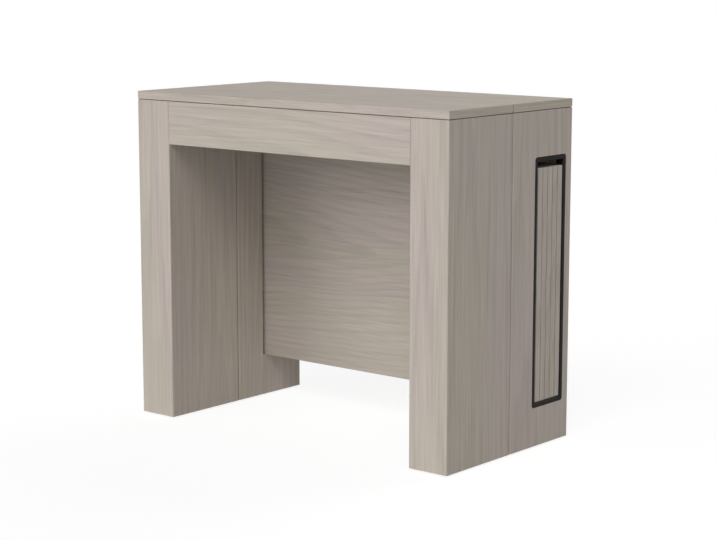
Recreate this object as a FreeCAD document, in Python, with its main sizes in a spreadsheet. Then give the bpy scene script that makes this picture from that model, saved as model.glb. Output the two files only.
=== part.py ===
import FreeCAD, Part
import Sketcher
import os

# Extending console table. Millimetres, +X right, +Y to the back, +Z up, origin on the floor at the
# middle of the closed table. The rear unit stands still and the front unit pulls out towards -Y on
# two telescopic guides. Five leaves are stored on edge inside the rear legs and slide out to +X.

SIZES = [
    # The whole table and its top
    ("table_width", 900.0),
    ("table_depth", 446.0),
    ("table_height", 760.0),
    ("top_thickness", 18.0),
    ("split_gap", 2.6),
    ("top_reveal", 1.5),
    ("edge_round", 1.0),
    # Legs, each folded from four mitred boards
    ("leg_width", 100.0),
    ("board_thickness", 18.0),
    ("corner_ease", 1.2),
    ("block_thickness", 18.0),
    ("block_screw_margin", 44.0),
    ("cap_inset", 2.5),
    ("foot_height", 3.0),
    ("foot_radius", 15.0),
    ("foot_round", 0.8),
    ("foot_margin", 34.0),
    ("spigot_radius", 4.0),
    ("spigot_length", 10.0),
    # Aprons between the legs
    ("apron_height", 98.0),
    ("apron_thickness", 18.0),
    # Extension leaves and the bay that stores them
    ("leaf_thickness", 18.0),
    ("leaf_spacing", 0.6),
    ("leaf_end_recess", 0.8),
    ("leaf_round", 1.5),
    ("leaf_stop_gap", 1.0),
    ("leaf_stop_wall", 6.0),
    ("leaf_seat_height", 101.0),
    ("bay_head_gap", 1.8),
    ("leaf_seat_gap", 0.3),
    ("bay_setback", 34.0),
    ("runner_thickness", 18.0),
    ("slot_front_play", 9.0),
    ("slot_back_play", 7.5),
    ("slot_radius", 6.0),
    # Black trim frame round the mouth of the bay
    ("mouth_front_play", 2.0),
    ("mouth_back_play", 1.0),
    ("mouth_headroom", 13.4),
    ("mouth_sill", 0.5),
    ("mouth_chamfer", 2.0),
    ("flange_width", 11.0),
    ("flange_thickness", 2.0),
    ("flange_corner", 7.0),
    ("sleeve_wall", 3.0),
    ("frame_clearance", 0.2),
    # Locating pins in the edges of the leaves and the front top
    ("pin_radius", 4.0),
    ("pin_embed", 12.0),
    ("pin_reach", 10.0),
    ("pin_round", 1.0),
    ("pin_margin", 150.0),
    ("pin_glue_gap", 0.05),
    ("socket_clearance", 0.3),
    ("socket_spare", 1.0),
    # Telescopic guide rails, tongue and groove side by side
    ("rail_end_gap", 4.0),
    ("rail_width", 16.0),
    ("rail_height", 45.0),
    ("rail_wall", 2.2),
    ("rail_gap", 0.5),
    ("rail_top_gap", 0.5),
    ("rail_lip", 2.5),
    ("tongue_neck_height", 6.0),
    ("tongue_head_height", 12.0),
    ("tongue_head_depth", 3.0),
    ("slide_clearance", 0.3),
    ("guide_inset", 5.0),
    # Cross ties under the rails, packers behind the fixed pair and the carrier of the front pair
    ("crossbar_width", 24.0),
    ("crossbar_thickness", 3.0),
    ("crossbar_pad", 2.0),
    ("crossbar_back_margin", 48.0),
    ("crossbar_front_margin", 70.0),
    ("packer_height", 30.0),
    ("packer_margin", 12.0),
    ("carrier_thickness", 3.0),
    ("carrier_flange", 26.0),
    ("carrier_height", 40.0),
    # Corner brackets and screws
    ("bracket_leg", 40.0),
    ("bracket_thickness", 2.5),
    ("bracket_height", 36.0),
    ("bracket_rise", 4.0),
    ("bracket_screw_spread", 10.0),
    ("bracket_screw_reach", 26.0),
    ("guide_screw_margin", 30.0),
    ("guide_screw_drop", 5.0),
    ("carrier_screw_margin", 63.0),
    ("carrier_screw_drop", 22.0),
    ("carrier_screw_reach", 14.0),
    ("screw_radius", 1.9),
    ("screw_head_radius", 4.0),
    ("screw_head_height", 2.2),
    ("screw_clearance", 0.05),
    ("screw_bite", 11.0),
    ("rail_screw_bite", 6.0),
]
LEAF_COUNT = 5
STAGE_COUNT = 9
RIGHT, LEFT = 1, -1
REAR, FRONT = 1, -1
SIDES = {"right": RIGHT, "left": LEFT}
UNITS = {"rear": REAR, "front": FRONT}
DIRECTIONS = {
    "+X": FreeCAD.Vector(1, 0, 0),
    "-X": FreeCAD.Vector(-1, 0, 0),
    "+Y": FreeCAD.Vector(0, 1, 0),
    "-Y": FreeCAD.Vector(0, -1, 0),
    "+Z": FreeCAD.Vector(0, 0, 1),
    "-Z": FreeCAD.Vector(0, 0, -1),
}
OPPOSITE = {"+X": "-X", "-X": "+X", "+Y": "-Y", "-Y": "+Y", "+Z": "-Z", "-Z": "+Z"}
SAME_SHARE = 1e-6

doc = FreeCAD.newDocument("extending_console_table")
sheet = doc.addObject("Spreadsheet::Sheet", "dim")
for row, (size_name, size) in enumerate(SIZES, 1):
    sheet.set(f"A{row}", size_name)
    sheet.set(f"B{row}", str(size))
    sheet.setAlias(f"B{row}", size_name)
doc.recompute()

# Places worked out from the driving dimensions, as expressions on the sheet
half_width = "(dim.table_width / 2)"
half_depth = "(dim.table_depth / 2)"
half_split = "(dim.split_gap / 2)"
underside = "(dim.table_height - dim.top_thickness)"
leg_head = f"({underside} - dim.top_reveal)"
leg_inner = f"({half_width} - dim.leg_width)"
hollow_inner = f"({leg_inner} + dim.board_thickness)"
hollow_outer = f"({half_width} - dim.board_thickness)"
hollow_near = f"({half_split} + dim.board_thickness)"
hollow_far = f"({half_depth} - dim.board_thickness)"
leg_middle_x = f"({half_width} - dim.leg_width / 2)"
apron_bottom = f"({leg_head} - dim.apron_height)"
apron_inner = f"({half_depth} - dim.apron_thickness)"
leaf_pitch = "(dim.leaf_thickness + dim.leaf_spacing)"
stack_back = f"({half_depth} - dim.bay_setback)"
stack_front = f"({stack_back} - {LEAF_COUNT} * dim.leaf_thickness - {LEAF_COUNT - 1} * dim.leaf_spacing)"
leaf_bottom = "(dim.leaf_seat_height + dim.leaf_seat_gap)"
stop_pocket = f"({half_width} - dim.leaf_stop_wall)"
mouth_front = f"({stack_front} - dim.mouth_front_play)"
mouth_back = f"({stack_back} + dim.mouth_back_play)"
mouth_bottom = "(dim.leaf_seat_height - dim.mouth_sill)"
mouth_top = f"({apron_bottom} - dim.bay_head_gap - dim.flange_width)"
leaf_top = f"({mouth_top} - dim.mouth_headroom)"
flange_back = f"({half_width} - dim.flange_thickness)"
rail_top = f"({underside} - dim.rail_top_gap)"
rail_bottom = f"({rail_top} - dim.rail_height)"
rail_middle = f"({rail_top} - dim.rail_height / 2)"
rail_length = f"(2 * ({apron_inner} - dim.rail_end_gap))"
rail_pitch = "(dim.rail_width + dim.rail_gap)"
tongue_neck = "(dim.rail_gap + dim.rail_lip + dim.slide_clearance)"
tongue_reach = f"({tongue_neck} + dim.tongue_head_depth)"
groove_depth = "(dim.rail_lip + dim.tongue_head_depth + 2 * dim.slide_clearance)"
pin_place = f"({half_width} - dim.pin_margin)"
pin_height = "(dim.table_height - dim.top_thickness / 2)"
crossbar_first = f"({rail_length} / 2 - dim.crossbar_back_margin)"
crossbar_run = f"({rail_length} - dim.crossbar_back_margin - dim.crossbar_front_margin)"
crossbar_pitch = f"({crossbar_run} / {STAGE_COUNT - 3})"

NODES = []


def number(expression):
    """The present value of an expression on the sheet."""
    return float(sheet.evalExpression(expression))


def mirrored(sign, near, far):
    """The low and high end of a span that lies from near to far on the side that sign gives."""
    if sign > 0:
        return near, far
    return f"-({far})", f"-({near})"


def centred(middle, size):
    """The low and high end of a span of a size about its middle."""
    return f"{middle} - {size} / 2", f"{middle} + {size} / 2"


def new_body(label):
    body = doc.addObject("PartDesign::Body", label)
    body.Label = label
    return body


def keep(obj):
    """Lists an object as a sub-part of the table."""
    NODES.append(obj)
    return obj


def group(label, members):
    """Like pieces that share one sub-part."""
    compound = doc.addObject("Part::Compound", label)
    compound.Label = label
    compound.Links = members
    return keep(compound)


def block(body, name, spans, cut=False):
    """A box between low and high expressions along X, Y and Z, added to a body or cut from it."""
    kind = "PartDesign::SubtractiveBox" if cut else "PartDesign::AdditiveBox"
    box = body.newObject(kind, f"{body.Label}_{name}")
    for side, axis, (low, high) in zip(("Length", "Width", "Height"), "xyz", spans):
        box.setExpression(side, f"({high}) - ({low})")
        box.setExpression(f"Placement.Base.{axis}", low)
    return box


def rod(body, name, start, direction, radius, length, cut=False):
    """A cylinder from a start point along a direction, added to a body or cut from it."""
    kind = "PartDesign::SubtractiveCylinder" if cut else "PartDesign::AdditiveCylinder"
    cylinder = body.newObject(kind, f"{body.Label}_{name}")
    turn = FreeCAD.Rotation(DIRECTIONS["+Z"], DIRECTIONS[direction])
    cylinder.Placement = FreeCAD.Placement(FreeCAD.Vector(), turn)
    cylinder.setExpression("Radius", radius)
    cylinder.setExpression("Height", length)
    for axis, place in zip("xyz", start):
        cylinder.setExpression(f"Placement.Base.{axis}", place)
    return cylinder


def dress(body, kind, name, feature, size_property, size, wanted):
    """Rounds or chamfers the edges of a feature that a test picks."""
    doc.recompute()
    picked = [f"Edge{i}" for i, edge in enumerate(feature.Shape.Edges, 1) if wanted(edge)]
    dressing = body.newObject(f"PartDesign::{kind}", f"{body.Label}_{name}")
    dressing.Base = (feature, picked)
    dressing.setExpression(size_property, size)
    return dressing


def runs_along(axis):
    """A test for straight edges that run along X, Y or Z."""
    index = "xyz".index(axis)

    def test(edge):
        if not isinstance(edge.Curve, Part.Line):
            return False
        return abs(abs(edge.Curve.Direction[index]) - 1) < SAME_SHARE

    return test


def lies_at(axis, place):
    """A test for edges that lie wholly on a plane across X, Y or Z."""
    index = "xyz".index(axis)
    value = number(place)

    def test(edge):
        limit = SAME_SHARE * number("dim.table_width")
        return all(abs(vertex.Point[index] - value) < limit for vertex in edge.Vertexes)

    return test


def outline(body, plane_role, loops, lift=None):
    """A sketch of closed polygons whose corners are pairs of expressions."""
    sketch = body.newObject("Sketcher::SketchObject", f"{body.Label}_outline")
    plane = [feature for feature in body.Origin.OriginFeatures if feature.Role == plane_role][0]
    sketch.AttachmentSupport = [(plane, "")]
    sketch.MapMode = "FlatFace"
    if lift:
        sketch.setExpression("AttachmentOffset.Base.z", lift)
    for loop in loops:
        first = sketch.GeometryCount
        corners = [FreeCAD.Vector(number(across), number(up), 0) for across, up in loop]
        sides = [Part.LineSegment(*ends) for ends in zip(corners, corners[1:] + corners[:1])]
        sketch.addGeometry(sides, False)
        constraints = []
        for index, corner in enumerate(corners):
            line = first + index
            following = first + (index + 1) % len(corners)
            constraints.append(Sketcher.Constraint("Coincident", line, 2, following, 1))
            constraints.append(Sketcher.Constraint("DistanceX", -1, 1, line, 1, corner.x))
            constraints.append(Sketcher.Constraint("DistanceY", -1, 1, line, 1, corner.y))
        placed = sketch.ConstraintCount
        sketch.addConstraint(constraints)
        for index, (across, up) in enumerate(loop):
            sketch.setExpression(f"Constraints[{placed + 3 * index + 1}]", across)
            sketch.setExpression(f"Constraints[{placed + 3 * index + 2}]", up)
    return sketch


def pad(body, sketch, length, midplane=False):
    feature = body.newObject("PartDesign::Pad", f"{body.Label}_pad")
    feature.Profile = sketch
    feature.Midplane = midplane
    feature.setExpression("Length", length)
    return feature


def round_edges(body, feature, radius):
    """Eases every edge of a board."""
    return dress(body, "Fillet", "eased", feature, "Radius", radius, lambda edge: True)


def screw(label, start, direction, grip, bite, fastened):
    """A pan-head screw whose head seats at start, and its hole in each body that it passes."""
    body = new_body(label)
    length = f"{grip} + {bite}"
    rod(body, "shank", start, direction, "dim.screw_radius", length)
    rod(body, "head", start, OPPOSITE[direction], "dim.screw_head_radius", "dim.screw_head_height")
    for holed in fastened:
        hole = f"{length} + dim.screw_clearance"
        rod(holed, f"hole_{label}", start, direction, "dim.screw_radius + dim.screw_clearance", hole, True)
    return body


# Top slabs, one on each unit, with the locating holes along the split


def make_top(unit_name, unit):
    body = new_body(f"{unit_name}_top")
    spans = [
        (f"-{half_width}", half_width),
        mirrored(unit, half_split, half_depth),
        (underside, "dim.table_height"),
    ]
    round_edges(body, block(body, "slab", spans), "dim.edge_round")
    if unit == FRONT:
        radius = "dim.pin_radius + dim.pin_glue_gap"
        depth = "dim.pin_embed"
    else:
        radius = "dim.pin_radius + dim.socket_clearance"
        depth = "dim.pin_reach + dim.socket_spare"
    inward = "+Y" if unit == REAR else "-Y"
    for side_name, side in SIDES.items():
        start = (f"{side} * {pin_place}", f"{unit} * {half_split}", pin_height)
        rod(body, f"pin_hole_{side_name}", start, inward, radius, depth, True)
    return keep(body)


# Leg boards, mitred along their long edges so that four of them fold into a box


def board_points(start, end, along, inward, side, unit):
    """The six corners of a mitred board seen from above, its outer face from start to end."""
    ease = "dim.corner_ease"
    half_ease = "dim.corner_ease / 2"
    thickness = "dim.board_thickness"
    steps = [
        (start, 1, ease, "0"),
        (end, -1, ease, "0"),
        (end, -1, half_ease, half_ease),
        (end, -1, thickness, thickness),
        (start, 1, thickness, thickness),
        (start, 1, half_ease, half_ease),
    ]
    points = []
    for (x, y), sense, run, depth in steps:
        across = f"{side} * ({x} + {sense * along[0]} * {run} + {inward[0]} * {depth})"
        up = f"{unit} * ({y} + {sense * along[1]} * {run} + {inward[1]} * {depth})"
        points.append((across, up))
    return points


def make_leg_boards(unit_name, unit, side_name, side):
    """The outer, inner, face and meeting boards of one leg, by their short names."""
    outer_near = (half_width, half_split)
    outer_far = (half_width, half_depth)
    inner_near = (leg_inner, half_split)
    inner_far = (leg_inner, half_depth)
    face = "back" if unit == REAR else "front"
    walls = {
        "outer": (outer_near, outer_far, (0, 1), (-1, 0)),
        "inner": (inner_near, inner_far, (0, 1), (1, 0)),
        face: (inner_far, outer_far, (1, 0), (0, -1)),
        "meeting": (inner_near, outer_near, (1, 0), (0, 1)),
    }
    boards = {}
    for wall, (start, end, along, inward) in walls.items():
        body = new_body(f"{unit_name}_{side_name}_leg_{wall}_board")
        points = board_points(start, end, along, inward, side, unit)
        sketch = outline(body, "XY_Plane", [points], "dim.foot_height")
        pad(body, sketch, f"{leg_head} - dim.foot_height")
        boards[wall] = keep(body)
    return boards


def cut_leaf_slot(body, side):
    """The routed slot in the inner board of a rear leg, with the cutter's round corners."""
    spans = [
        mirrored(side, leg_inner, hollow_inner),
        (f"{stack_front} - dim.slot_front_play", f"{stack_back} + dim.slot_back_play"),
        ("dim.leaf_seat_height", mouth_top),
    ]
    slot = block(body, "leaf_slot", spans, True)
    dress(body, "Fillet", "slot_corners", slot, "Radius", "dim.slot_radius", runs_along("x"))


def cut_stop_pocket(body):
    """The blind pocket in the left outer board where the leaves end."""
    spans = [
        mirrored(LEFT, hollow_outer, stop_pocket),
        (mouth_front, mouth_back),
        ("dim.leaf_seat_height", mouth_top),
    ]
    block(body, "stop_pocket", spans, True)


def ring_spans(x_span, margin):
    """A box round the mouth of the bay, wider than the mouth by a margin on each side."""
    return [
        x_span,
        (f"{mouth_front} - ({margin})", f"{mouth_back} + ({margin})"),
        (f"{mouth_bottom} - ({margin})", f"{mouth_top} + ({margin})"),
    ]


def cut_frame_seat(body):
    """The opening for the trim frame's sleeve and the shallow rebate for its flange."""
    sleeve = ring_spans((hollow_outer, half_width), "dim.sleeve_wall + dim.frame_clearance")
    block(body, "sleeve_hole", sleeve, True)
    flange = ring_spans((flange_back, half_width), "dim.flange_width + dim.frame_clearance")
    rebate = block(body, "flange_rebate", flange, True)
    at_head = lies_at("z", f"{mouth_top} + dim.flange_width + dim.frame_clearance")
    at_sill = lies_at("z", f"{mouth_bottom} - dim.flange_width - dim.frame_clearance")
    along = runs_along("x")

    def corner(edge):
        return along(edge) and (at_head(edge) or at_sill(edge))

    radius = "dim.flange_corner + dim.frame_clearance"
    dress(body, "Fillet", "rebate_corners", rebate, "Radius", radius, corner)


def make_slot_frame():
    """The black trim frame: a flange let in flush with the leg and a sleeve that lines the hole."""
    body = new_body("slot_frame")
    flange = block(body, "flange", ring_spans((flange_back, half_width), "dim.flange_width"))
    dress(body, "Fillet", "corners", flange, "Radius", "dim.flange_corner", runs_along("x"))
    block(body, "sleeve", ring_spans((hollow_outer, flange_back), "dim.sleeve_wall"))
    mouth = block(body, "mouth", ring_spans((hollow_outer, half_width), "0"), True)
    doc.recompute()
    at_face = lies_at("x", half_width)
    limits = mouth.Shape.BoundBox
    inset = number("dim.flange_width") / 2

    def mouth_edge(edge):
        middle = edge.BoundBox.Center
        clear_y = limits.YMin + inset < middle.y < limits.YMax - inset
        clear_z = limits.ZMin + inset < middle.z < limits.ZMax - inset
        return at_face(edge) and clear_y and clear_z

    dress(body, "Chamfer", "lead_in", mouth, "Size", "dim.mouth_chamfer", mouth_edge)
    return keep(body)


# Blocks inside the legs and the glides under them


def make_leg_blocks(unit_name, unit, top):
    """A head block that carries the top and a base plug that carries the glides, in each leg.

    The head block is rebated, so that its cap lies on the ends of the boards inside the shadow line.
    """
    levels = {
        "head": (f"{underside} - dim.block_thickness", underside),
        "base": ("dim.foot_height", "dim.foot_height + dim.block_thickness"),
    }
    blocks = []
    screws = []
    feet = []
    for side_name, side in SIDES.items():
        for level, heights in levels.items():
            body = new_body(f"{unit_name}_{side_name}_{level}_block")
            across = mirrored(side, hollow_inner, hollow_outer)
            block(body, "blank", [across, mirrored(unit, hollow_near, hollow_far), heights])
            if level == "head":
                cap_across = mirrored(side, f"{leg_inner} + dim.cap_inset", f"{half_width} - dim.cap_inset")
                cap_depth = mirrored(unit, f"{half_split} + dim.cap_inset", f"{half_depth} - dim.cap_inset")
                block(body, "cap", [cap_across, cap_depth, (leg_head, underside)])
            blocks.append(body)
            for end, hollow_end, sense in (("near", hollow_near, 1), ("far", hollow_far, -1)):
                place_x = f"{side} * {leg_middle_x}"
                if level == "head":
                    place_y = f"{unit} * ({hollow_end} + {sense} * dim.block_screw_margin)"
                    start = (place_x, place_y, heights[0])
                    label = f"{unit_name}_{side_name}_top_screw_{end}"
                    grip = "dim.block_thickness"
                    screws.append(screw(label, start, "+Z", grip, "dim.screw_bite", [body, top]))
                else:
                    place_y = f"{unit} * ({hollow_end} + {sense} * dim.foot_margin)"
                    feet.append(make_foot(f"{unit_name}_{side_name}_foot_{end}", place_x, place_y, body))
    group(f"{unit_name}_leg_blocks", blocks)
    group(f"{unit_name}_feet", feet)
    return screws


def make_foot(label, place_x, place_y, plug):
    """A plastic glide: a disc on the floor and a spigot pushed up into the base plug."""
    body = new_body(label)
    floor = (place_x, place_y, "0")
    disc = rod(body, "disc", floor, "+Z", "dim.foot_radius", "dim.foot_height")
    dress(body, "Fillet", "rim", disc, "Radius", "dim.foot_round", lies_at("z", "0"))
    seat = (place_x, place_y, "dim.foot_height")
    rod(body, "spigot", seat, "+Z", "dim.spigot_radius", "dim.spigot_length")
    hole_radius = "dim.spigot_radius + dim.screw_clearance"
    hole_depth = "dim.spigot_length + dim.screw_clearance"
    rod(plug, f"hole_{label}", seat, "+Z", hole_radius, hole_depth, True)
    return body


# Aprons between the legs, held by steel corner brackets


def make_apron(unit_name, unit):
    body = new_body(f"{unit_name}_apron")
    spans = [(f"-{leg_inner}", leg_inner), mirrored(unit, apron_inner, half_depth), (apron_bottom, leg_head)]
    round_edges(body, block(body, "board", spans), "dim.edge_round")
    return keep(body)


def make_corner_brackets(unit_name, unit, apron, inner_boards):
    brackets = []
    screws = []
    low = f"({apron_bottom} + dim.bracket_rise)"
    heights = (low, f"{low} + dim.bracket_height")
    into_apron = "+Y" if unit == REAR else "-Y"
    for side_name, side in SIDES.items():
        body = new_body(f"{unit_name}_{side_name}_corner_bracket")
        corner_x = f"({leg_inner} - dim.bracket_leg)"
        corner_y = f"({apron_inner} - dim.bracket_leg)"
        plate_x = f"({leg_inner} - dim.bracket_thickness)"
        plate_y = f"({apron_inner} - dim.bracket_thickness)"
        on_leg = [mirrored(side, plate_x, leg_inner), mirrored(unit, corner_y, apron_inner), heights]
        on_apron = [mirrored(side, corner_x, leg_inner), mirrored(unit, plate_y, apron_inner), heights]
        block(body, "leg_plate", on_leg)
        block(body, "apron_plate", on_apron)
        brackets.append(body)
        into_leg = "+X" if side == RIGHT else "-X"
        for sense, level in ((1, "upper"), (-1, "lower")):
            height = f"{low} + dim.bracket_height / 2 + {sense} * dim.bracket_screw_spread"
            leg_start = (f"{side} * {plate_x}", f"{unit} * ({apron_inner} - dim.bracket_screw_reach)", height)
            apron_start = (f"{side} * ({leg_inner} - dim.bracket_screw_reach)", f"{unit} * {plate_y}", height)
            leg_label = f"{unit_name}_{side_name}_leg_screw_{level}"
            apron_label = f"{unit_name}_{side_name}_apron_screw_{level}"
            grip = "dim.bracket_thickness"
            leg_board = inner_boards[side_name]
            screws.append(screw(leg_label, leg_start, into_leg, grip, "dim.screw_bite", [body, leg_board]))
            screws.append(screw(apron_label, apron_start, into_apron, grip, "dim.screw_bite", [body, apron]))
    group(f"{unit_name}_corner_brackets", brackets)
    return screws


# Extension leaves, stored on edge, and the runners that they slide on


def make_leaf(index):
    """One leaf with its pins. Leaf one is the front of the stack."""
    front = f"({stack_front} + {index - 1} * {leaf_pitch})"
    middle = f"{front} + dim.leaf_thickness / 2"
    body = new_body(f"leaf_{index}")
    spans = [
        (f"-({stop_pocket} - dim.leaf_stop_gap)", f"{half_width} - dim.leaf_end_recess"),
        (front, f"{front} + dim.leaf_thickness"),
        (leaf_bottom, leaf_top),
    ]
    round_edges(body, block(body, "slab", spans), "dim.leaf_round")
    pins = []
    for side_name, side in SIDES.items():
        place_x = f"{side} * {pin_place}"
        head = (place_x, middle, leaf_top)
        hole_radius = "dim.pin_radius + dim.pin_glue_gap"
        rod(body, f"pin_hole_{side_name}", head, "-Z", hole_radius, "dim.pin_embed", True)
        socket_radius = "dim.pin_radius + dim.socket_clearance"
        socket_depth = "dim.pin_reach + dim.socket_spare"
        foot = (place_x, middle, leaf_bottom)
        rod(body, f"socket_{side_name}", foot, "+Z", socket_radius, socket_depth, True)
        seat = (place_x, middle, f"{leaf_top} - dim.pin_embed")
        pins.append(make_pin(f"leaf_{index}_pin_{side_name}", seat, "+Z"))
    keep(body)
    group(f"leaf_{index}_pins", pins)


def is_ring(edge):
    """Whether an edge is a full circle."""
    return len(edge.Vertexes) == 1


def make_pin(label, seat, direction):
    """A round locating pin with eased ends."""
    body = new_body(label)
    pin = rod(body, "pin", seat, direction, "dim.pin_radius", "dim.pin_embed + dim.pin_reach")
    dress(body, "Fillet", "ends", pin, "Radius", "dim.pin_round", is_ring)
    return body


def make_leaf_runners():
    """Boards across the inside of the rear legs, level with the sills of the slots."""
    runners = []
    for side_name, side in SIDES.items():
        body = new_body(f"{side_name}_leaf_runner_board")
        spans = [
            mirrored(side, hollow_inner, hollow_outer),
            (hollow_near, hollow_far),
            ("dim.leaf_seat_height - dim.runner_thickness", "dim.leaf_seat_height"),
        ]
        block(body, "blank", spans)
        runners.append(body)
    group("leaf_runners", runners)


# Telescopic guides: nine pairs of rails that slide in one another, the outer pair on the rear unit


def rail_outer_face(stage):
    return f"({leg_inner} - dim.guide_inset - {stage - 1} * {rail_pitch})"


def rail_inner_face(stage):
    return f"({rail_outer_face(stage)} - dim.rail_width)"


def rail_section(stage, side):
    """The extrusion's closed outlines: tongue towards the middle, groove outside, two chambers."""
    outer = rail_outer_face(stage)
    inner = rail_inner_face(stage)
    half = "dim.rail_height / 2"
    neck = "dim.tongue_neck_height / 2"
    head = "dim.tongue_head_height / 2"
    mouth = f"({neck} + dim.slide_clearance)"
    cavity = f"({head} + dim.slide_clearance)"
    tongue = []
    if stage < STAGE_COUNT:
        tongue = [
            (inner, neck),
            (f"{inner} - {tongue_neck}", neck),
            (f"{inner} - {tongue_neck}", head),
            (f"{inner} - {tongue_reach}", head),
        ]
    groove = []
    if stage > 1:
        groove = [
            (outer, mouth),
            (f"{outer} - dim.rail_lip", mouth),
            (f"{outer} - dim.rail_lip", cavity),
            (f"{outer} - {groove_depth}", cavity),
        ]
    upper = [(x, 1, height) for x, height in [(outer, half), (inner, half)] + tongue]
    lower = [(x, -1, height) for x, height in tongue[::-1] + [(inner, half), (outer, half)] + groove]
    closing = [(x, 1, height) for x, height in groove[::-1]]
    loops = [upper + lower + closing]
    chamber_near = f"({cavity} + dim.rail_wall)"
    chamber_far = f"({half} - dim.rail_wall)"
    chamber_outer = f"{outer} - dim.rail_wall"
    chamber_inner = f"{inner} + dim.rail_wall"
    for sense in (1, -1):
        loops.append([
            (chamber_outer, sense, chamber_near),
            (chamber_inner, sense, chamber_near),
            (chamber_inner, sense, chamber_far),
            (chamber_outer, sense, chamber_far),
        ])
    return [
        [(f"{side} * ({x})", f"{rail_middle} + {sense} * {height}") for x, sense, height in loop]
        for loop in loops
    ]


def make_rails(stage):
    """The right and left rail of one stage, by side."""
    rails = {}
    for side_name, side in SIDES.items():
        body = new_body(f"{side_name}_guide_rail_{stage}")
        pad(body, outline(body, "XZ_Plane", rail_section(stage, side)), rail_length, True)
        rails[side_name] = body
    return rails


def make_crossbar(stage):
    """A flat tie under the rails of one stage, raised on pads so that the inner rails clear it."""
    body = new_body(f"guide_crossbar_{stage}")
    outer = rail_outer_face(stage)
    inner = rail_inner_face(stage)
    depth = centred(f"{crossbar_first} - {stage - 2} * {crossbar_pitch}", "dim.crossbar_width")
    strip_top = f"({rail_bottom} - dim.crossbar_pad)"
    block(body, "strip", [(f"-{outer}", outer), depth, (f"{strip_top} - dim.crossbar_thickness", strip_top)])
    for side_name, side in SIDES.items():
        block(body, f"{side_name}_pad", [mirrored(side, inner, outer), depth, (strip_top, rail_bottom)])
    return keep(body)


def make_guide_packers(rails, inner_boards):
    """Strips that space the fixed rails off the rear legs, and the screws that hold them there."""
    packers = []
    screws = []
    face = f"({leg_inner} - dim.guide_inset)"
    near = f"({half_split} + dim.packer_margin)"
    far = f"({rail_length} / 2 - dim.packer_margin)"
    for side_name, side in SIDES.items():
        body = new_body(f"{side_name}_guide_packer")
        spans = [
            mirrored(side, face, leg_inner),
            (near, far),
            centred(rail_middle, "dim.packer_height"),
        ]
        block(body, "strip", spans)
        packers.append(body)
        inward = "-X" if side == RIGHT else "+X"
        for end, packer_end, sense in (("near", near, 1), ("far", far, -1)):
            start = (
                f"{side} * {hollow_inner}",
                f"{packer_end} + {sense} * dim.guide_screw_margin",
                f"{rail_middle} - dim.guide_screw_drop",
            )
            grip = "dim.board_thickness + dim.guide_inset"
            passed = [inner_boards[side_name], body, rails[side_name]]
            label = f"{side_name}_guide_screw_{end}"
            screws.append(screw(label, start, inward, grip, "dim.rail_screw_bite", passed))
    group("guide_packers", packers)
    return screws


def make_front_carrier(rails, apron):
    """An angle bar on the front apron that the last pair of rails is screwed down to."""
    body = new_body("front_guide_carrier")
    outer = rail_outer_face(STAGE_COUNT)
    across = (f"-{outer}", outer)
    plate_face = f"({apron_inner} - dim.carrier_thickness)"
    shelf_bottom = f"({rail_bottom} - dim.carrier_thickness)"
    upright = [
        across,
        mirrored(FRONT, plate_face, apron_inner),
        (f"{rail_bottom} - dim.carrier_height", rail_bottom),
    ]
    shelf = [
        across,
        mirrored(FRONT, f"{apron_inner} - dim.carrier_flange", apron_inner),
        (shelf_bottom, rail_bottom),
    ]
    block(body, "upright", upright)
    block(body, "shelf", shelf)
    keep(body)
    screws = []
    grip = "dim.carrier_thickness"
    for place in (-1, 0, 1):
        start = (
            f"{place} * ({outer} - dim.carrier_screw_margin)",
            f"-{plate_face}",
            f"{rail_bottom} - dim.carrier_screw_drop",
        )
        label = f"carrier_apron_screw_{place + 2}"
        screws.append(screw(label, start, "-Y", grip, "dim.screw_bite", [body, apron]))
    for side_name, side in SIDES.items():
        start = (
            f"{side} * ({outer} - dim.rail_width / 2)",
            f"-({apron_inner} - dim.carrier_screw_reach)",
            shelf_bottom,
        )
        label = f"carrier_{side_name}_rail_screw"
        screws.append(screw(label, start, "+Z", grip, "dim.rail_screw_bite", [body, rails[side_name]]))
    return screws


# The rear unit, the front unit, the guides between them and the stored leaves are put together

screws = {}
aprons = {}
inner_boards = {}
for unit_name, unit in UNITS.items():
    top = make_top(unit_name, unit)
    aprons[unit_name] = make_apron(unit_name, unit)
    inner_boards[unit_name] = {}
    for side_name, side in SIDES.items():
        boards = make_leg_boards(unit_name, unit, side_name, side)
        inner_boards[unit_name][side_name] = boards["inner"]
        if unit == REAR:
            cut_leaf_slot(boards["inner"], side)
            if side == RIGHT:
                cut_frame_seat(boards["outer"])
            else:
                cut_stop_pocket(boards["outer"])
    screws[unit_name] = make_leg_blocks(unit_name, unit, top)
    screws[unit_name] += make_corner_brackets(unit_name, unit, aprons[unit_name], inner_boards[unit_name])

make_slot_frame()
make_leaf_runners()
for leaf in range(1, LEAF_COUNT + 1):
    make_leaf(leaf)

front_pins = []
for side_name, side in SIDES.items():
    seat = (f"{side} * {pin_place}", f"-({half_split} + dim.pin_embed)", pin_height)
    front_pins.append(make_pin(f"front_top_pin_{side_name}", seat, "+Y"))
group("front_top_pins", front_pins)

rails = {stage: make_rails(stage) for stage in range(1, STAGE_COUNT + 1)}
screws["rear"] += make_guide_packers(rails[1], inner_boards["rear"])
screws["front"] += make_front_carrier(rails[STAGE_COUNT], aprons["front"])
rail_names = {1: "rear_guide_rails", STAGE_COUNT: "front_guide_rails"}
for stage, pair in rails.items():
    group(rail_names.get(stage, f"guide_rails_{stage}"), list(pair.values()))
    if stage not in rail_names:
        make_crossbar(stage)
for unit_name in UNITS:
    group(f"{unit_name}_screws", screws[unit_name])

# Every object has to have come out whole before anything is written

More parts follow.
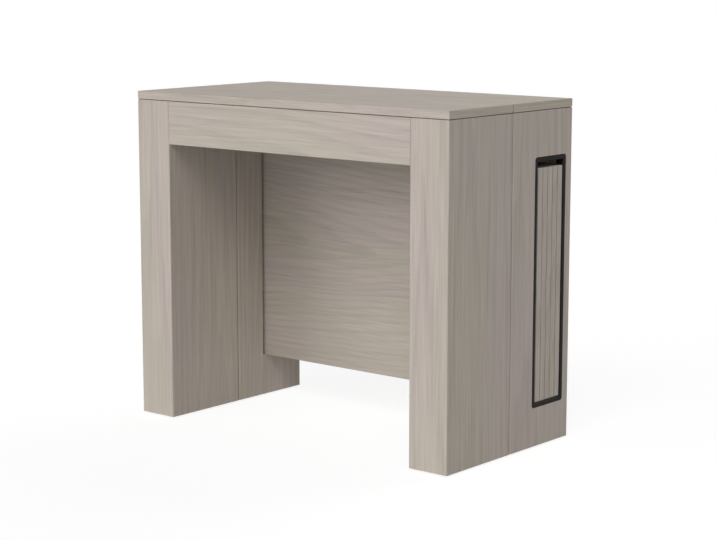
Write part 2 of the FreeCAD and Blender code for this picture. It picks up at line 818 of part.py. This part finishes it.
doc.recompute()
for obj in doc.Objects:
    if "Invalid" in obj.State or "Error" in obj.State:
        raise RuntimeError(f"{obj.Label} failed: {obj.State}")
os.makedirs("parts", exist_ok=True)
for node in NODES:
    if node.Shape.isNull() or not node.Shape.isValid() or not node.Shape.Solids:
        raise RuntimeError(f"{node.Label} has no valid solid")
for node in NODES:
    node.Shape.exportStep(os.path.join("parts", f"{node.Label}.step"))
print(len(NODES), "sub-parts written")
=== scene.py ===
import math

import bmesh
import bpy
from mathutils import Color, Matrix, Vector


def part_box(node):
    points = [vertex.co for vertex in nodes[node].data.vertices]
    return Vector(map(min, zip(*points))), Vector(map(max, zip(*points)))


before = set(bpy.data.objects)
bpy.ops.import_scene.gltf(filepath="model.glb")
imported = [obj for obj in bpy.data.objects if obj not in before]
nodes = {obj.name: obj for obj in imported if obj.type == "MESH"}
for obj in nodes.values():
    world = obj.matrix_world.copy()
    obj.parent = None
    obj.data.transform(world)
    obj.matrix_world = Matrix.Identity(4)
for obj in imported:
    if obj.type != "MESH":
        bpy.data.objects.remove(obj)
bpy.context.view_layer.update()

# Leg boards. Each leg is a hollow box of four melamine-faced boards, mitred along their long edges,
# folded up and glued. The facing is a printed elm in grey beige with the grain upright and a fine
# embossed pore; the narrow edges carry a band of the same print.

ALONG_X = Vector((1, 0, 0))
ALONG_Y = Vector((0, 1, 0))
ALONG_Z = Vector((0, 0, 1))


def swatch(red, green, blue):
    """A colour as read off a screen, from 0 to 255, turned into Blender's linear values."""
    shade = Color((red / 255, green / 255, blue / 255)).from_srgb_to_scene_linear()
    return (*shade, 1.0)


def wire(tree, kind, inputs=None, **settings):
    """A shader node with its settings; an input that is another node's output is linked to it."""
    made = tree.nodes.new(kind)
    for name, value in settings.items():
        setattr(made, name, value)
    for socket, value in (inputs or {}).items():
        if isinstance(value, bpy.types.NodeSocket):
            tree.links.new(value, made.inputs[socket])
        else:
            made.inputs[socket].default_value = value
    return made


def sums(tree, operation, first, second=0.0):
    """The result of one step of arithmetic on numbers."""
    return wire(tree, "ShaderNodeMath", {0: first, 1: second}, operation=operation).outputs[0]


def arrows(tree, operation, first, second):
    """The result of one step of arithmetic on vectors."""
    return wire(tree, "ShaderNodeVectorMath", {0: first, 1: second}, operation=operation).outputs[0]


def dot(tree, first, second):
    """How far one vector reaches along another."""
    node = wire(tree, "ShaderNodeVectorMath", {0: first, 1: second}, operation="DOT_PRODUCT")
    return node.outputs["Value"]


def scaled(tree, vector, amount):
    """A vector, or a colour, times an amount."""
    node = wire(tree, "ShaderNodeVectorMath", {0: vector, "Scale": amount}, operation="SCALE")
    return node.outputs["Vector"]


def noise(tree, vector, per_metre, detail=2.0, roughness=0.5, output="Fac"):
    """Cloudy noise of so many waves per metre."""
    inputs = {"Vector": vector, "Scale": per_metre, "Detail": detail, "Roughness": roughness}
    return wire(tree, "ShaderNodeTexNoise", inputs).outputs[output]


def cells(tree, vector, per_metre, output):
    """Irregular cells, so many per metre: a colour for each one, or the distance to its middle."""
    return wire(tree, "ShaderNodeTexVoronoi", {"Vector": vector, "Scale": per_metre}).outputs[output]


def swing(tree, value, amount):
    """A noise value turned into a change of at most an amount up or down."""
    return sums(tree, "MULTIPLY", sums(tree, "SUBTRACT", value, 0.5), 2 * amount)


def span(tree, value, low, high, to_low=0.0, to_high=1.0):
    """A value between low and high, spread over another span with soft ends."""
    inputs = {"Value": value, "From Min": low, "From Max": high, "To Min": to_low, "To Max": to_high}
    return wire(tree, "ShaderNodeMapRange", inputs, interpolation_type="SMOOTHSTEP").outputs["Result"]


def blended(tree, share, first, second):
    """Two colours mixed by a share."""
    node = wire(tree, "ShaderNodeMix", {0: share, 6: first, 7: second}, data_type="RGBA")
    return node.outputs[2]


def new_group(name, inputs, outputs):
    """An empty node group with named inputs and outputs, and its two end nodes."""
    group = bpy.data.node_groups.new(name, "ShaderNodeTree")
    for socket, kind in inputs.items():
        group.interface.new_socket(socket, in_out="INPUT", socket_type=kind)
    for socket, kind in outputs.items():
        group.interface.new_socket(socket, in_out="OUTPUT", socket_type=kind)
    return group, group.nodes.new("NodeGroupInput").outputs, group.nodes.new("NodeGroupOutput")


def make_elm_print():
    """The elm print: growth rings round a heart line, and bands, threads and pores along the grain."""
    rosy = swatch(190, 179, 172)
    mossy = swatch(188, 180, 168)
    ring_width = 0.012
    ring_taper = 0.06
    ring_wobble = 0.6
    ring_shade = 0.07
    sway_reach = 0.036
    sway_share = 0.22
    sways_per_metre = 7.0
    band_contrast = 0.045
    streak_contrast = 0.12
    thread_contrast = 0.19
    fibre_contrast = 0.14
    pores_per_metre = 620.0
    pore_share = 0.03
    pore_shade = 0.16
    matt = 0.72
    thread_matt = 0.10
    pore_matt = 0.12
    thread_relief = 0.8
    fibre_relief = 0.5
    end_face = 0.7
    inputs = {
        "Position": "NodeSocketVector",
        "Heart": "NodeSocketVector",
        "Grain": "NodeSocketVector",
        "Edge Grain": "NodeSocketVector",
        "Figure": "NodeSocketFloat",
    }
    outputs = {"Colour": "NodeSocketColor", "Roughness": "NodeSocketFloat", "Height": "NodeSocketFloat"}
    group, given, result = new_group("elm_print", inputs, outputs)

    # The board's ends carry a band whose grain runs across the board.
    face = wire(group, "ShaderNodeNewGeometry").outputs["True Normal"]
    across_end = sums(group, "ABSOLUTE", dot(group, face, given["Grain"]))
    on_end = sums(group, "GREATER_THAN", across_end, end_face)
    turn = {0: on_end, 4: given["Grain"], 5: given["Edge Grain"]}
    grain = wire(group, "ShaderNodeMix", turn, data_type="VECTOR").outputs[1]

    # The lines sway slowly to and fro along the board.
    place = arrows(group, "SUBTRACT", given["Position"], given["Heart"])
    length = dot(group, place, grain)
    lengthwise = scaled(group, grain, length)
    straight = arrows(group, "SUBTRACT", place, lengthwise)
    slow = arrows(group, "ADD", straight, scaled(group, lengthwise, sway_share))
    wander = swing(group, noise(group, slow, sways_per_metre, detail=1.0), sway_reach)
    sway = sums(group, "MULTIPLY", wander, given["Figure"])
    radial = arrows(group, "ADD", straight, scaled(group, given["Edge Grain"], sway))

    def drawn_out(share):
        """The place across the grain, with only a share of the way along it."""
        return arrows(group, "ADD", radial, scaled(group, lengthwise, share))

    def layer(per_metre, share, detail=2.0, roughness=0.5):
        """Noise of so many waves per metre across the grain, drawn out along it."""
        return noise(group, drawn_out(share), per_metre, detail, roughness)

    # Each growth ring darkens slowly towards its late wood and ends sharply.
    radius = wire(group, "ShaderNodeVectorMath", {0: radial}, operation="LENGTH").outputs["Value"]
    taper = sums(group, "MULTIPLY", given["Figure"], ring_taper)
    tapered = sums(group, "ADD", radius, sums(group, "MULTIPLY", length, taper))
    wobble = swing(group, layer(per_metre=26.0, share=0.08, detail=1.0), ring_wobble)
    ring = sums(group, "FRACT", sums(group, "ADD", sums(group, "DIVIDE", tapered, ring_width), wobble))
    darkening = span(group, ring, low=0.40, high=0.88)
    ending = span(group, ring, low=1.0, high=0.92)
    late = sums(group, "MULTIPLY", darkening, ending)

    zones = layer(per_metre=13.0, share=0.10)
    bands = layer(per_metre=34.0, share=0.035)
    streaks = layer(per_metre=130.0, share=0.02)
    threads = layer(per_metre=330.0, share=0.018, roughness=0.6)
    fibres = layer(per_metre=900.0, share=0.014)
    from_pore = cells(group, drawn_out(pore_share), pores_per_metre, "Distance")
    porous = span(group, layer(per_metre=60.0, share=0.08, detail=1.0), low=0.45, high=0.62)
    pores = sums(group, "MULTIPLY", span(group, from_pore, low=0.22, high=0.10), porous)

    tone = sums(group, "ADD", 1.0, swing(group, bands, band_contrast))
    tone = sums(group, "ADD", tone, swing(group, streaks, streak_contrast))
    tone = sums(group, "ADD", tone, swing(group, threads, thread_contrast))
    tone = sums(group, "ADD", tone, swing(group, fibres, fibre_contrast))
    tone = sums(group, "SUBTRACT", tone, sums(group, "MULTIPLY", late, ring_shade))
    tone = sums(group, "SUBTRACT", tone, sums(group, "MULTIPLY", pores, pore_shade))
    tint = blended(group, span(group, zones, low=0.36, high=0.64), mossy, rosy)
    colour = scaled(group, tint, tone)

    roughness = sums(group, "ADD", matt, swing(group, threads, thread_matt))
    roughness = sums(group, "ADD", roughness, sums(group, "MULTIPLY", pores, pore_matt))
    relief = sums(group, "SUBTRACT", swing(group, fibres, fibre_relief), pores)
    relief = sums(group, "ADD", relief, swing(group, threads, thread_relief))
    group.links.new(colour, result.inputs["Colour"])
    group.links.new(roughness, result.inputs["Roughness"])
    group.links.new(relief, result.inputs["Height"])
    return group


elm_print = make_elm_print()


def new_finish(name):
    """A new material with its node tree and its surface shader."""
    material = bpy.data.materials.new(name)
    material.use_nodes = True
    return material, material.node_tree, material.node_tree.nodes["Principled BSDF"]


def object_place(tree):
    """The position on the piece, which stays with it when it moves."""
    return wire(tree, "ShaderNodeTexCoord").outputs["Object"]


def emboss(tree, shader, height, depth):
    """Relief of a real depth, in metres, on the surface shader's normal."""
    bump = wire(tree, "ShaderNodeBump", {"Height": height, "Distance": depth, "Strength": 1.0})
    tree.links.new(bump.outputs["Normal"], shader.inputs["Normal"])


def coat(names, material):
    """Puts one finish on the sub-parts that these names give."""
    for name in names:
        part = nodes[name]
        part.data.materials.clear()
        part.data.materials.append(material)


def face_with_elm(name, grain, edge_grain, heart, figure, seam=None):
    """Faces one board with the elm print. The heart is a point on the line its rings go round.

    The figure is how far the lines sway, from nought for straight to one for a strong flame. A seam is
    a function that gives the share of dark line at a position: partly glue line and partly painted
    shade of the gaps between the leaves.
    """
    # The dark line on the leaf ends: a glue line, darkened as painted shade of the gaps between the leaves.
    glue_and_gap_shade = swatch(140, 129, 118)
    gloss = 0.1
    pore_depth = 0.00006
    material, tree, shader = new_finish(f"elm_{name}")
    position = object_place(tree)
    inputs = {
        "Position": position,
        "Heart": heart,
        "Grain": grain,
        "Edge Grain": edge_grain,
        "Figure": figure,
    }
    decor = wire(tree, "ShaderNodeGroup", inputs, node_tree=elm_print)
    colour = decor.outputs["Colour"]
    if seam:
        colour = blended(tree, seam(tree, position), colour, glue_and_gap_shade)
    tree.links.new(colour, shader.inputs["Base Color"])
    tree.links.new(decor.outputs["Roughness"], shader.inputs["Roughness"])
    shader.inputs["Specular IOR Level"].default_value = gloss
    emboss(tree, shader, decor.outputs["Height"], pore_depth)
    coat([name], material)


def board_middle(name):
    """The middle of one board, from the frame."""
    low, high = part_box(name)
    return (low + high) / 2


# The heart line lies at another place for each board, so no two boards look alike.
LEG_FIGURE = 0.3
LEG_HEART_SHIFT = 0.05
LEG_SHIFT_TURN = 2.4
LEG_HEART_DEPTH = 0.11
LEG_DEPTH_SWING = 0.4
LEG_DEPTH_TURN = 1.7
LEG_HEART_RISE = 0.9
leg_walls = {"outer": ALONG_Y, "inner": ALONG_Y, "meeting": ALONG_X, "front": ALONG_X, "back": ALONG_X}
leg_boards = sorted(name for name in nodes if name.endswith("_board") and "_leg_" in name)
for count, name in enumerate(leg_boards):
    wall = name.split("_")[-2]
    wide = leg_walls[wall]
    deep = ALONG_Z.cross(wide)
    shift = LEG_HEART_SHIFT * math.sin(LEG_SHIFT_TURN * count)
    depth = LEG_HEART_DEPTH * (1 + LEG_DEPTH_SWING * math.cos(LEG_DEPTH_TURN * count))
    rise = LEG_HEART_RISE * count
    heart = board_middle(name) + wide * shift + deep * depth + ALONG_Z * rise
    face_with_elm(name, ALONG_Z, wide, heart, LEG_FIGURE)

# Leg blocks, leaf runners and guide packers. Plain chipboard with no facing, sawn to size: a head
# block and a base plug glued into each leg, a runner board across each rear leg for the leaves, and
# strips that space the fixed guide rails off the legs. The cap on each head block is painted dark as
# shade, so that the shadow line under the top reads dark.


def make_chipboard():
    """Pressed flakes with dust between them, painted dark as shade above the leg boards' upper ends."""
    pale = swatch(205, 178, 138)
    dark = swatch(146, 112, 76)
    # painted shade: a dark brown for the caps, where the shadow line under the top falls
    painted_shade = swatch(92, 82, 74)
    flakes_per_metre = 330.0
    flake_stir = 0.006
    flake_contrast = 0.7
    dust_contrast = 0.35
    flake_depth = 0.0003
    leg_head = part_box(leg_boards[0])[1].z
    material, tree, shader = new_finish("raw_chipboard")
    position = object_place(tree)
    stir = noise(tree, position, per_metre=90.0, output="Color")
    stirred = arrows(tree, "ADD", position, scaled(tree, stir, flake_stir))
    flakes = cells(tree, stirred, flakes_per_metre, "Color")
    from_flake = cells(tree, stirred, flakes_per_metre, "Distance")
    dust = noise(tree, position, per_metre=1400.0, detail=3.0, roughness=0.65)
    flake_tone = wire(tree, "ShaderNodeSeparateColor", {0: flakes}).outputs[0]
    flake_share = sums(tree, "MULTIPLY", flake_tone, flake_contrast)
    share = sums(tree, "ADD", flake_share, swing(tree, dust, dust_contrast))
    board = blended(tree, share, pale, dark)
    height = wire(tree, "ShaderNodeSeparateXYZ", {0: position}).outputs["Z"]
    # Above the leg boards' upper ends the cap gets the painted shade, so the gap under the top reads as
    # shadow.
    on_cap = sums(tree, "GREATER_THAN", height, leg_head)
    tree.links.new(blended(tree, on_cap, board, painted_shade), shader.inputs["Base Color"])
    roughness = span(tree, dust, low=0.2, high=0.8, to_low=0.72, to_high=0.95)
    tree.links.new(roughness, shader.inputs["Roughness"])
    emboss(tree, shader, sums(tree, "ADD", from_flake, dust), flake_depth)
    return material


coat(["rear_leg_blocks", "front_leg_blocks", "leaf_runners", "guide_packers"], make_chipboard())

# Glides. Two grey-brown polyamide discs under each leg, moulded with a spigot that is pushed up into
# the base plug. The moulding has a fine spark-eroded grain and scuffs a little where it meets the floor.


def make_glide_plastic():
    """Moulded polyamide with pale scuffs."""
    body = swatch(98, 92, 86)
    scuffed = swatch(128, 122, 114)
    grain_depth = 0.00004
    material, tree, shader = new_finish("glide_polyamide")
    position = object_place(tree)
    grain = noise(tree, position, per_metre=2600.0)
    clouds = noise(tree, position, per_metre=160.0, detail=3.0)
    scuffs = span(tree, clouds, low=0.45, high=0.75)
    tree.links.new(blended(tree, scuffs, body, scuffed), shader.inputs["Base Color"])
    roughness = span(tree, grain, low=0.2, high=0.8, to_low=0.45, to_high=0.62)
    tree.links.new(roughness, shader.inputs["Roughness"])
    emboss(tree, shader, grain, grain_depth)
    return material


coat(["rear_feet", "front_feet"], make_glide_plastic())

# Aprons. One faced board across the front legs and one across the rear legs, flush with them, with
# the grain running lengthwise. They are screwed to steel corner brackets from inside.

APRON_FIGURE = 0.45
apron_hearts = {"front_apron": Vector((0.15, 0.09, -0.045)), "rear_apron": Vector((-0.4, -0.12, 0.03))}
for name, offset in apron_hearts.items():
    face_with_elm(name, ALONG_X, ALONG_Z, board_middle(name) + offset, APRON_FIGURE)

# Corner brackets, cross ties and the front carrier. Zinc-plated sheet steel, cut and folded; the
# plating shows a soft grey spangle and a faint haze.


def make_zinc(name, bright, dull, spangles_per_metre):
    """Zinc plating whose crystals are so many per metre."""
    crystal_contrast = 0.5
    haze_contrast = 0.5
    haze_depth = 0.00005
    material, tree, shader = new_finish(name)
    position = object_place(tree)
    spangle = cells(tree, position, spangles_per_metre, "Color")
    crystal = wire(tree, "ShaderNodeSeparateColor", {0: spangle}).outputs[0]
    haze = noise(tree, position, per_metre=45.0, detail=3.0)
    crystal_share = sums(tree, "MULTIPLY", crystal, crystal_contrast)
    share = sums(tree, "ADD", crystal_share, swing(tree, haze, haze_contrast))
    tree.links.new(blended(tree, share, bright, dull), shader.inputs["Base Color"])
    roughness = span(tree, crystal, low=0.0, high=1.0, to_low=0.44, to_high=0.60)
    tree.links.new(roughness, shader.inputs["Roughness"])
    shader.inputs["Metallic"].default_value = 1.0
    emboss(tree, shader, haze, haze_depth)
    return material


sheet_zinc = make_zinc("zinc_sheet", swatch(150, 153, 156), swatch(112, 116, 120), spangles_per_metre=260.0)
crossbars = [name for name in nodes if name.startswith("guide_crossbar_")]
coat(["rear_corner_brackets", "front_corner_brackets", "front_guide_carrier", *crossbars], sheet_zinc)

# Guide rails. Nine pairs of aluminium extrusions that slide in one another by tongue and groove. They
# are anodised in natural silver over the fine lines that the die draws along them.


def make_drawn_aluminium():
    """Anodised aluminium with lines along the rails."""
    silver = swatch(184, 186, 189)
    shaded = swatch(146, 149, 153)
    line_share = 0.01
    haze_contrast = 0.3
    line_depth = 0.00003
    material, tree, shader = new_finish("anodised_aluminium")
    position = object_place(tree)
    drawn = wire(tree, "ShaderNodeMapping", {"Vector": position, "Scale": (1.0, line_share, 1.0)})
    lines = noise(tree, drawn.outputs[0], per_metre=1800.0, detail=3.0, roughness=0.6)
    haze = noise(tree, position, per_metre=30.0)
    share = sums(tree, "ADD", span(tree, lines, low=0.3, high=0.7), swing(tree, haze, haze_contrast))
    tree.links.new(blended(tree, share, silver, shaded), shader.inputs["Base Color"])
    roughness = span(tree, lines, low=0.25, high=0.75, to_low=0.28, to_high=0.42)
    tree.links.new(roughness, shader.inputs["Roughness"])
    shader.inputs["Metallic"].default_value = 1.0
    emboss(tree, shader, lines, line_depth)
    return material


coat([name for name in nodes if "guide_rails" in name], make_drawn_aluminium())

# Tops. Two faced slabs that meet at the split, one on each unit, with the grain running along the
# table. Each is screwed up through the head blocks and stands clear of the legs by a shadow line.

TOP_FIGURE = 0.6
top_hearts = {"front_top": Vector((0.3, 0.05, -0.10)), "rear_top": Vector((-0.6, -0.04, -0.14))}
for name, offset in top_hearts.items():
    face_with_elm(name, ALONG_X, ALONG_Y, board_middle(name) + offset, TOP_FIGURE)

# Slot frame. A black moulding let in flush round the mouth of the leaf bay, with a sleeve that lines
# the hole and a lead-in chamfer. Satin black with the fine texture of the mould.


def make_black_trim():
    """Black moulding with a fine texture and a few paler clouds."""
    ink = swatch(19, 17, 14)
    worn = swatch(28, 26, 22)
    gloss = 0.1
    texture_depth = 0.00005
    material, tree, shader = new_finish("black_trim")
    position = object_place(tree)
    texture = noise(tree, position, per_metre=1900.0)
    clouds = noise(tree, position, per_metre=24.0)
    wear = span(tree, clouds, low=0.4, high=0.8)
    tree.links.new(blended(tree, wear, ink, worn), shader.inputs["Base Color"])
    roughness = span(tree, texture, low=0.2, high=0.8, to_low=0.42, to_high=0.56)
    tree.links.new(roughness, shader.inputs["Roughness"])
    shader.inputs["Specular IOR Level"].default_value = gloss
    emboss(tree, shader, texture, texture_depth)
    return material


coat(["slot_frame"], make_black_trim())

# Leaves. Five faced slabs stored on edge in the rear legs, the grain running lengthwise and their
# ends banded with upright grain, with a dark line along both faces that is partly glue line and partly
# painted shade of the gaps between the leaves. The first one shows between the legs as a back panel.


def make_glue_and_shade_lines():
    """A mask that is one on a leaf's ends, close to its two faces."""
    line_width = 0.0004
    end_face = 0.3
    inputs = {"Position": "NodeSocketVector", "Middle": "NodeSocketVector", "Half": "NodeSocketFloat"}
    group, given, result = new_group("leaf_glue_and_shade_lines", inputs, {"Line": "NodeSocketFloat"})
    offset = arrows(group, "SUBTRACT", given["Position"], given["Middle"])
    out = sums(group, "ABSOLUTE", dot(group, offset, ALONG_Y))
    depth = sums(group, "SUBTRACT", given["Half"], out)
    face = wire(group, "ShaderNodeNewGeometry").outputs["True Normal"]
    on_end = sums(group, "GREATER_THAN", sums(group, "ABSOLUTE", dot(group, face, ALONG_X)), end_face)
    # The line is partly glue line and partly painted shade standing for the gaps between the leaves.
    line = span(group, depth, low=2 * line_width, high=line_width)
    group.links.new(sums(group, "MULTIPLY", line, on_end), result.inputs["Line"])
    return group


glue_and_shade_lines = make_glue_and_shade_lines()


def end_seam(name):
    """A function that gives the share of dark line, glue line and painted shade, at a position on one leaf.
    """
    low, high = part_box(name)
    half = (high.y - low.y) / 2

    def seam(tree, position):
        inputs = {"Position": position, "Middle": board_middle(name), "Half": half}
        return wire(tree, "ShaderNodeGroup", inputs, node_tree=glue_and_shade_lines).outputs["Line"]

    return seam


LEAF_FIGURE = 1.0
LEAF_HEART_START = -0.2
LEAF_HEART_STEP = 0.5
LEAF_HEART_DEPTH = 0.07
LEAF_DEPTH_REACH = 0.03
LEAF_DEPTH_TURN = 2.1
LEAF_RISE_REACH = 0.04
LEAF_RISE_TURN = 1.3
leaves = sorted(name for name in nodes if name.startswith("leaf_") and name[-1].isdigit())
for count, name in enumerate(leaves):
    along = LEAF_HEART_START + LEAF_HEART_STEP * count
    depth = LEAF_HEART_DEPTH + LEAF_DEPTH_REACH * math.cos(LEAF_DEPTH_TURN * count)
    rise = LEAF_RISE_REACH * math.cos(LEAF_RISE_TURN * count)
    heart = board_middle(name) + Vector((along, depth, rise))
    face_with_elm(name, ALONG_X, ALONG_Z, heart, LEAF_FIGURE, end_seam(name))

# Locating pins. Turned beech pins glued into one edge of each leaf and of the front top, with pale
# wood and the short dark flecks of beech.


def make_beech():
    """Pale beech with warm clouds and dark flecks."""
    pale = swatch(214, 182, 142)
    warm = swatch(192, 152, 110)
    fleck = swatch(140, 100, 66)
    flecks_per_metre = 1500.0
    fleck_share = 0.5
    grain_depth = 0.00006
    material, tree, shader = new_finish("beech_pin")
    position = object_place(tree)
    clouds = noise(tree, position, per_metre=300.0, detail=3.0)
    from_fleck = cells(tree, position, flecks_per_metre, "Distance")
    flecks = sums(tree, "MULTIPLY", span(tree, from_fleck, low=0.24, high=0.12), fleck_share)
    wood = blended(tree, span(tree, clouds, low=0.3, high=0.7), pale, warm)
    tree.links.new(blended(tree, flecks, wood, fleck), shader.inputs["Base Color"])
    roughness = span(tree, clouds, low=0.3, high=0.7, to_low=0.5, to_high=0.65)
    tree.links.new(roughness, shader.inputs["Roughness"])
    emboss(tree, shader, clouds, grain_depth)
    return material


coat([name for name in nodes if name.endswith("_pins")], make_beech())

# Screws. Pan-head wood screws in bright zinc, driven through the brackets, blocks, packers and the
# carrier into the boards.

screw_zinc = make_zinc("zinc_screw", swatch(216, 214, 206), swatch(176, 175, 168), spangles_per_metre=900.0)
coat(["rear_screws", "front_screws"], screw_zinc)

# Studio. A pale floor that fades into a white room, six wide soft lamps round the table and a little
# light from all round. The floor keeps a faint shadow, and it is clear when seen from underneath.

FLOOR_HALF = 60.0
FLOOR_BOUNCE = 0.92
FLOOR_SHADE = 0.25
FLOOR_GLOW = 0.84
WHITE = (1, 1, 1, 1)
floor_mesh = bpy.data.meshes.new("floor")
sheet = bmesh.new()
bmesh.ops.create_grid(sheet, x_segments=1, y_segments=1, size=FLOOR_HALF)
sheet.to_mesh(floor_mesh)
sheet.free()
floor = bpy.data.objects.new("floor", floor_mesh)
bpy.context.scene.collection.objects.link(floor)


def grey(level):
    """A neutral colour of one linear level."""
    return (level, level, level, 1)


def seen_directly(tree):
    """One where a ray comes from the eye, a mirror or through glass, and nought where it carries light."""
    path = wire(tree, "ShaderNodeLightPath").outputs
    seen = sums(tree, "MAXIMUM", path["Is Camera Ray"], path["Is Glossy Ray"])
    return sums(tree, "MAXIMUM", seen, path["Is Transmission Ray"])


paper, tree, unused = new_finish("white_floor")
tree.nodes.remove(unused)
bounce = wire(tree, "ShaderNodeBsdfDiffuse", {"Color": grey(FLOOR_BOUNCE)})
shaded = wire(tree, "ShaderNodeBsdfDiffuse", {"Color": grey(FLOOR_SHADE)})
glow = wire(tree, "ShaderNodeEmission", {"Color": WHITE, "Strength": FLOOR_GLOW})
lit = wire(tree, "ShaderNodeAddShader", {0: shaded.outputs[0], 1: glow.outputs[0]})
mixed = wire(tree, "ShaderNodeMixShader", {0: seen_directly(tree), 1: bounce.outputs[0], 2: lit.outputs[0]})
from_below = wire(tree, "ShaderNodeNewGeometry").outputs["Backfacing"]
clear = wire(tree, "ShaderNodeBsdfTransparent")
sided = wire(tree, "ShaderNodeMixShader", {0: from_below, 1: mixed.outputs[0], 2: clear.outputs[0]})
tree.links.new(sided.outputs[0], tree.nodes["Material Output"].inputs["Surface"])
floor_mesh.materials.append(paper)

ROOM_LIGHT = 0.08
world = bpy.data.worlds.new("white_room")
world.use_nodes = True
bpy.context.scene.world = world
tree = world.node_tree
room_light = sums(tree, "ADD", sums(tree, "MULTIPLY", seen_directly(tree), 1 - ROOM_LIGHT), ROOM_LIGHT)
tree.nodes["Background"].inputs["Color"].default_value = WHITE
tree.links.new(room_light, tree.nodes["Background"].inputs["Strength"])


def direction(azimuth, elevation):
    """A unit arrow from the table towards a place round it, nought degrees being straight in front."""
    turn, rise = math.radians(azimuth), math.radians(elevation)
    return Vector((math.sin(turn) * math.cos(rise), -math.cos(turn) * math.cos(rise), math.sin(rise)))


# Each lamp has its azimuth and elevation in degrees and its strength.
LAMP_SPREAD = math.radians(36)
lamp_places = {
    "left_lamp": (-35, 12, 1.14),
    "front_lamp": (0, 18, 0.34),
    "high_lamp": (25, 50, 1.04),
    "right_lamp": (45, 25, 0.35),
    "back_lamp": (165, 40, 0.66),
    "rear_lamp": (205, 14, 0.45),
}
for name, (azimuth, elevation, strength) in lamp_places.items():
    lamp = bpy.data.objects.new(name, bpy.data.lights.new(name, "SUN"))
    lamp.data.angle = LAMP_SPREAD
    lamp.data.energy = strength
    lamp.rotation_euler = direction(azimuth, elevation).to_track_quat("Z", "Y").to_euler()
    bpy.context.scene.collection.objects.link(lamp)

# Camera. It stands in front on the right, a little above the top, as the photograph was taken, with
# a long lens that keeps the uprights close to parallel.

CAMERA_AZIMUTH = 39.78
CAMERA_ELEVATION = 9.38
CAMERA_DISTANCE = 4.317
CAMERA_AIM = Vector((0.0256, 0.0, 0.363))
SENSOR_WIDTH = 36.0
FOCAL_LENGTH = 95.59
SIGHT_LIMIT = 200.0
away = direction(CAMERA_AZIMUTH, CAMERA_ELEVATION)
camera = bpy.data.objects.new("camera", bpy.data.cameras.new("camera"))
camera.data.sensor_width = SENSOR_WIDTH
camera.data.lens = FOCAL_LENGTH
camera.data.clip_end = SIGHT_LIMIT
camera.location = CAMERA_AIM + away * CAMERA_DISTANCE
camera.rotation_euler = away.to_track_quat("Z", "Y").to_euler()
bpy.context.scene.collection.objects.link(camera)
bpy.context.scene.camera = camera
bpy.context.scene.view_settings.view_transform = "Standard"
